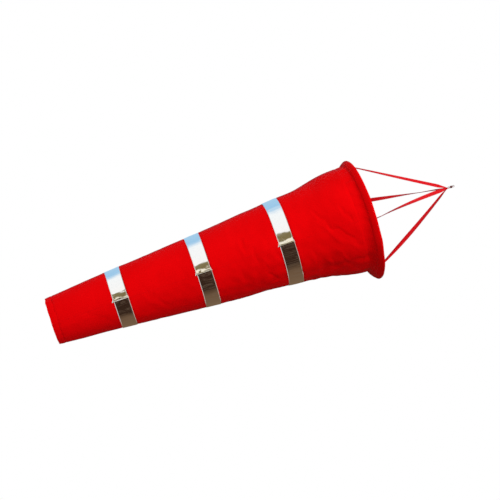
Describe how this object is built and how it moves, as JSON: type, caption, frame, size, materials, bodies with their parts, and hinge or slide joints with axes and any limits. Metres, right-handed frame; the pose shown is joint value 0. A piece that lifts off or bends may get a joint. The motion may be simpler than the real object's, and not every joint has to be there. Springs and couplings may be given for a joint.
{
  "type": "windsock",
  "caption": "Tapered red cloth windsock with three silver bands, a stiff mouth hoop and a ribbon bridle that hangs from a small barrel swivel.",
  "frame": {"origin": "centre of the bore of the swivel's upper eye, from which the windsock hangs", "axes": "-Z down the middle of the hanging sock to its tail; +Y along the bore of the upper eye; -Y is the side with the lengthwise seam"},
  "size_m": [0.3048, 0.3044, 1.0486],
  "materials": {
    "red_nylon": "satin",
    "red_ribbon": "satin",
    "red_thread": "matte",
    "silver_film": "polished",
    "hoop_rod": "matte",
    "ferrule_metal": "satin",
    "swivel_metal": "aged"
  },
  "bodies": {
    "hook_end": {"swivel_upper_eye": "swivel_metal"},
    "barrel": {"swivel_barrel": "swivel_metal"},
    "sock_end": {"swivel_lower_eye": "swivel_metal"},
    "mouth": {"bridle_loop": "red_ribbon", "bridle_binding": "red_thread", "ribbon_1": "red_ribbon", "ribbon_2": "red_ribbon", "ribbon_3": "red_ribbon", "ribbon_4": "red_ribbon", "mouth_hoop": "hoop_rod", "hoop_ferrule": "ferrule_metal", "hoop_sleeve": "red_nylon", "panel_4": "red_nylon"},
    "upper_round": {"band_3": "silver_film", "panel_3": "red_nylon"},
    "middle_round": {"band_2": "silver_film", "panel_2": "red_nylon"},
    "lower_round": {"band_1": "silver_film", "panel_1": "red_nylon"},
    "tail": {"tail_hem": "red_nylon"}
  },
  "joints": [
    {"name": "barrel_spin", "type": "hinge", "parent": "hook_end", "child": "barrel", "pos_m": [0, 0, -0.0045], "axis": [0, 0, 1], "continuous": true},
    {"name": "sock_spin", "type": "hinge", "parent": "hook_end", "child": "sock_end", "pos_m": [0, 0, -0.0073], "axis": [0, 0, 1], "continuous": true},
    {"name": "bridle_swing", "type": "hinge", "parent": "sock_end", "child": "mouth", "pos_m": [0, 0, -0.0118], "axis": [0, 1, 0], "range_deg": [-100, 100]},
    {"name": "bend_4", "type": "hinge", "parent": "mouth", "child": "upper_round", "pos_m": [0, 0, -0.3525], "axis": [0, 1, 0], "range_deg": [-25, 25], "deforming": ["panel_4"]},
    {"name": "bend_3", "type": "hinge", "parent": "upper_round", "child": "middle_round", "pos_m": [0, 0, -0.5565], "axis": [0, 1, 0], "range_deg": [-25, 25], "deforming": ["panel_3"]},
    {"name": "bend_2", "type": "hinge", "parent": "middle_round", "child": "lower_round", "pos_m": [0, 0, -0.7665], "axis": [0, 1, 0], "range_deg": [-25, 25], "deforming": ["panel_2"]},
    {"name": "bend_1", "type": "hinge", "parent": "lower_round", "child": "tail", "pos_m": [0, 0, -0.9615], "axis": [0, 1, 0], "range_deg": [-25, 25], "deforming": ["panel_1"]}
  ]
}
